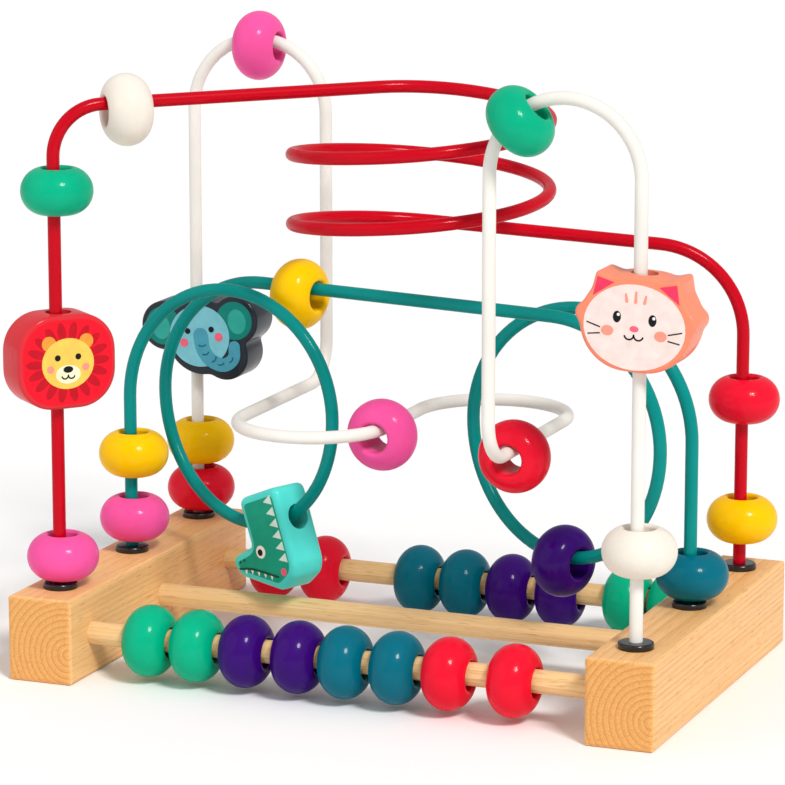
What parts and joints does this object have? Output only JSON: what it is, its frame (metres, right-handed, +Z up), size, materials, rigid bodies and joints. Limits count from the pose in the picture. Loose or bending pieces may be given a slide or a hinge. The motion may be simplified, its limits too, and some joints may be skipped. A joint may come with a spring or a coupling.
{
  "type": "bead maze",
  "caption": "Wooden bead maze: two base blocks joined by dowels, with bent coated wires along which round beads and flat animal beads slide.",
  "frame": {"origin": "middle of the footprint, on the floor under the base blocks", "axes": "+X along the dowels to the toy's right, +Y to the back along the blocks, +Z up"},
  "size_m": [0.2502, 0.148, 0.2195],
  "materials": {
    "block_wood": "satin varnish",
    "dowel_wood": "plain sanded",
    "red_coating": "gloss coating",
    "teal_coating": "gloss coating",
    "white_coating": "gloss coating",
    "black_plastic": "gloss",
    "green_lacquer": "gloss lacquer",
    "pink_lacquer": "gloss lacquer",
    "yellow_lacquer": "gloss lacquer",
    "red_lacquer": "gloss lacquer",
    "cream_lacquer": "gloss lacquer",
    "purple_lacquer": "gloss lacquer",
    "blue_lacquer": "gloss lacquer",
    "lion_red": "satin lacquer",
    "elephant_navy": "satin lacquer",
    "cat_coral": "satin lacquer",
    "crocodile_turquoise": "satin lacquer"
  },
  "bodies": {
    "frame": {"left_block": "block_wood", "right_block": "block_wood", "front_dowel": "dowel_wood", "middle_dowel": "dowel_wood", "back_dowel": "dowel_wood", "red_wire": "red_coating", "teal_wire": "teal_coating", "white_wire": "white_coating", "left_front_collar": "black_plastic", "left_middle_collar": "black_plastic", "left_back_collar": "black_plastic", "right_front_collar": "black_plastic", "right_middle_collar": "black_plastic", "right_back_collar": "black_plastic"},
    "red_wire_pink_bead": {"red_wire_pink_bead": "pink_lacquer"},
    "lion_bead": {"lion_bead": "lion_red"},
    "red_wire_green_bead": {"red_wire_green_bead": "green_lacquer"},
    "red_wire_yellow_bead": {"red_wire_yellow_bead": "yellow_lacquer"},
    "red_wire_red_bead": {"red_wire_red_bead": "red_lacquer"},
    "teal_wire_pink_bead": {"teal_wire_pink_bead": "pink_lacquer"},
    "teal_wire_yellow_bead": {"teal_wire_yellow_bead": "yellow_lacquer"},
    "teal_wire_blue_bead": {"teal_wire_blue_bead": "blue_lacquer"},
    "white_wire_red_bead": {"white_wire_red_bead": "red_lacquer"},
    "white_wire_yellow_bead": {"white_wire_yellow_bead": "yellow_lacquer"},
    "elephant_bead": {"elephant_bead": "elephant_navy"},
    "white_wire_cream_bead": {"white_wire_cream_bead": "cream_lacquer"},
    "cat_bead": {"cat_bead": "cat_coral"},
    "red_wire_cream_bead": {"red_wire_cream_bead": "cream_lacquer"},
    "teal_strand_yellow_bead": {"teal_strand_yellow_bead": "yellow_lacquer"},
    "white_curve_red_bead": {"white_curve_red_bead": "red_lacquer"},
    "white_arch_pink_bead": {"white_arch_pink_bead": "pink_lacquer"},
    "white_arch_green_bead": {"white_arch_green_bead": "green_lacquer"},
    "white_curve_pink_bead": {"white_curve_pink_bead": "pink_lacquer"},
    "crocodile_bead": {"crocodile_bead": "crocodile_turquoise"},
    "teal_wire_purple_bead": {"teal_wire_purple_bead": "purple_lacquer"},
    "front_dowel_bead_1": {"front_dowel_bead_1": "green_lacquer"},
    "front_dowel_bead_2": {"front_dowel_bead_2": "green_lacquer"},
    "front_dowel_bead_3": {"front_dowel_bead_3": "purple_lacquer"},
    "front_dowel_bead_4": {"front_dowel_bead_4": "purple_lacquer"},
    "front_dowel_bead_5": {"front_dowel_bead_5": "blue_lacquer"},
    "front_dowel_bead_6": {"front_dowel_bead_6": "blue_lacquer"},
    "front_dowel_bead_7": {"front_dowel_bead_7": "red_lacquer"},
    "front_dowel_bead_8": {"front_dowel_bead_8": "red_lacquer"},
    "back_dowel_bead_1": {"back_dowel_bead_1": "red_lacquer"},
    "back_dowel_bead_2": {"back_dowel_bead_2": "red_lacquer"},
    "back_dowel_bead_3": {"back_dowel_bead_3": "blue_lacquer"},
    "back_dowel_bead_4": {"back_dowel_bead_4": "blue_lacquer"},
    "back_dowel_bead_5": {"back_dowel_bead_5": "purple_lacquer"},
    "back_dowel_bead_6": {"back_dowel_bead_6": "purple_lacquer"},
    "back_dowel_bead_7": {"back_dowel_bead_7": "green_lacquer"},
    "back_dowel_bead_8": {"back_dowel_bead_8": "green_lacquer"}
  },
  "joints": [
    {"name": "red_wire_pink_bead_slide", "type": "slide", "parent": "frame", "child": "red_wire_pink_bead", "axis": [0, 0, 1], "range_m": [0, 0.045]},
    {"name": "lion_bead_slide", "type": "slide", "parent": "frame", "child": "lion_bead", "axis": [0, 0, 1], "range_m": [-0.045, 0.0333]},
    {"name": "red_wire_green_bead_slide", "type": "slide", "parent": "frame", "child": "red_wire_green_bead", "axis": [0, 0, 1], "range_m": [-0.0333, 0.012]},
    {"name": "red_wire_yellow_bead_slide", "type": "slide", "parent": "frame", "child": "red_wire_yellow_bead", "axis": [0, 0, 1], "range_m": [-0.0069, 0.0267]},
    {"name": "red_wire_red_bead_slide", "type": "slide", "parent": "frame", "child": "red_wire_red_bead", "axis": [0, 0, 1], "range_m": [-0.0267, 0.018]},
    {"name": "teal_wire_pink_bead_slide", "type": "slide", "parent": "frame", "child": "teal_wire_pink_bead", "axis": [0, 0, 1], "range_m": [-0.0013, 0.0072]},
    {"name": "teal_wire_yellow_bead_slide", "type": "slide", "parent": "frame", "child": "teal_wire_yellow_bead", "axis": [0, 0, 1], "range_m": [-0.0072, 0.018]},
    {"name": "teal_wire_blue_bead_slide", "type": "slide", "parent": "frame", "child": "teal_wire_blue_bead", "axis": [0, 0, 1], "range_m": [0, 0.046]},
    {"name": "white_wire_red_bead_slide", "type": "slide", "parent": "frame", "child": "white_wire_red_bead", "axis": [0, 0, 1], "range_m": [0, 0.0016]},
    {"name": "white_wire_yellow_bead_slide", "type": "slide", "parent": "frame", "child": "white_wire_yellow_bead", "axis": [0, 0, 1], "range_m": [-0.0016, 0.0182]},
    {"name": "elephant_bead_slide", "type": "slide", "parent": "frame", "child": "elephant_bead", "axis": [0, 0, 1], "range_m": [-0.0182, 0.07]},
    {"name": "white_wire_cream_bead_slide", "type": "slide", "parent": "frame", "child": "white_wire_cream_bead", "axis": [0, 0, 1], "range_m": [-0.0214, 0.0517]},
    {"name": "cat_bead_slide", "type": "slide", "parent": "frame", "child": "cat_bead", "axis": [0, 0, 1], "range_m": [-0.0517, 0.03]},
    {"name": "red_wire_cream_bead_slide", "type": "slide", "parent": "frame", "child": "red_wire_cream_bead", "axis": [0.7431, 0.6691, 0.014], "range_m": [-0.008, 0.09]},
    {"name": "teal_strand_yellow_bead_slide", "type": "slide", "parent": "frame", "child": "teal_strand_yellow_bead", "axis": [0.9832, -0.1826, 0], "range_m": [-0.02, 0.11]},
    {"name": "white_curve_red_bead_slide", "type": "slide", "parent": "frame", "child": "white_curve_red_bead", "axis": [0, 1, 0], "range_m": [-0.005, 0.045]},
    {"name": "white_arch_pink_bead_swing", "type": "hinge", "parent": "frame", "child": "white_arch_pink_bead", "pos_m": [-0.079, 0.057, 0.1835], "axis": [0, 1, 0], "range_deg": [-88, 88]},
    {"name": "white_arch_green_bead_swing", "type": "hinge", "parent": "frame", "child": "white_arch_green_bead", "pos_m": [0.079, -0.057, 0.1835], "axis": [0, -1, 0], "range_deg": [-129, 47]},
    {"name": "white_curve_pink_bead_swing", "type": "hinge", "parent": "frame", "child": "white_curve_pink_bead", "pos_m": [-0.0265, -0.0165, 0.087], "axis": [0, 0, 1], "range_deg": [-176, 3]},
    {"name": "crocodile_bead_swing", "type": "hinge", "parent": "frame", "child": "crocodile_bead", "pos_m": [-0.06045, 0.00262, 0.0865], "axis": [-0.3746, -0.9272, 0], "range_deg": [-32, 42]},
    {"name": "teal_wire_purple_bead_swing", "type": "hinge", "parent": "frame", "child": "teal_wire_purple_bead", "pos_m": [0.06045, -0.00262, 0.0865], "axis": [0.3746, 0.9272, 0], "range_deg": [-90, 90]},
    {"name": "front_dowel_bead_1_slide", "type": "slide", "parent": "frame", "child": "front_dowel_bead_1", "axis": [1, 0, 0], "range_m": [-0.014, 0.0017]},
    {"name": "front_dowel_bead_2_slide", "type": "slide", "parent": "frame", "child": "front_dowel_bead_2", "axis": [1, 0, 0], "range_m": [-0.0017, 0.0022]},
    {"name": "front_dowel_bead_3_slide", "type": "slide", "parent": "frame", "child": "front_dowel_bead_3", "axis": [1, 0, 0], "range_m": [-0.0022, 0.0031]},
    {"name": "front_dowel_bead_4_slide", "type": "slide", "parent": "frame", "child": "front_dowel_bead_4", "axis": [1, 0, 0], "range_m": [-0.0031, 0.0011]},
    {"name": "front_dowel_bead_5_slide", "type": "slide", "parent": "frame", "child": "front_dowel_bead_5", "axis": [1, 0, 0], "range_m": [-0.0011, 0.0025]},
    {"name": "front_dowel_bead_6_slide", "type": "slide", "parent": "frame", "child": "front_dowel_bead_6", "axis": [1, 0, 0], "range_m": [-0.0025, 0.0026]},
    {"name": "front_dowel_bead_7_slide", "type": "slide", "parent": "frame", "child": "front_dowel_bead_7", "axis": [1, 0, 0], "range_m": [-0.0026, 0.0071]},
    {"name": "front_dowel_bead_8_slide", "type": "slide", "parent": "frame", "child": "front_dowel_bead_8", "axis": [1, 0, 0], "range_m": [-0.0071, 0.0218]},
    {"name": "back_dowel_bead_1_slide", "type": "slide", "parent": "frame", "child": "back_dowel_bead_1", "axis": [1, 0, 0], "range_m": [-0.0106, 0.004]},
    {"name": "back_dowel_bead_2_slide", "type": "slide", "parent": "frame", "child": "back_dowel_bead_2", "axis": [1, 0, 0], "range_m": [-0.004, 0.0215]},
    {"name": "back_dowel_bead_3_slide", "type": "slide", "parent": "frame", "child": "back_dowel_bead_3", "axis": [1, 0, 0], "range_m": [-0.0215, 0.0015]},
    {"name": "back_dowel_bead_4_slide", "type": "slide", "parent": "frame", "child": "back_dowel_bead_4", "axis": [1, 0, 0], "range_m": [-0.0015, 0.0018]},
    {"name": "back_dowel_bead_5_slide", "type": "slide", "parent": "frame", "child": "back_dowel_bead_5", "axis": [1, 0, 0], "range_m": [-0.0018, 0.0027]},
    {"name": "back_dowel_bead_6_slide", "type": "slide", "parent": "frame", "child": "back_dowel_bead_6", "axis": [1, 0, 0], "range_m": [-0.0027, 0.0095]},
    {"name": "back_dowel_bead_7_slide", "type": "slide", "parent": "frame", "child": "back_dowel_bead_7", "axis": [1, 0, 0], "range_m": [-0.0095, 0.0007]},
    {"name": "back_dowel_bead_8_slide", "type": "slide", "parent": "frame", "child": "back_dowel_bead_8", "axis": [1, 0, 0], "range_m": [-0.0007, 0.0037]}
  ]
}
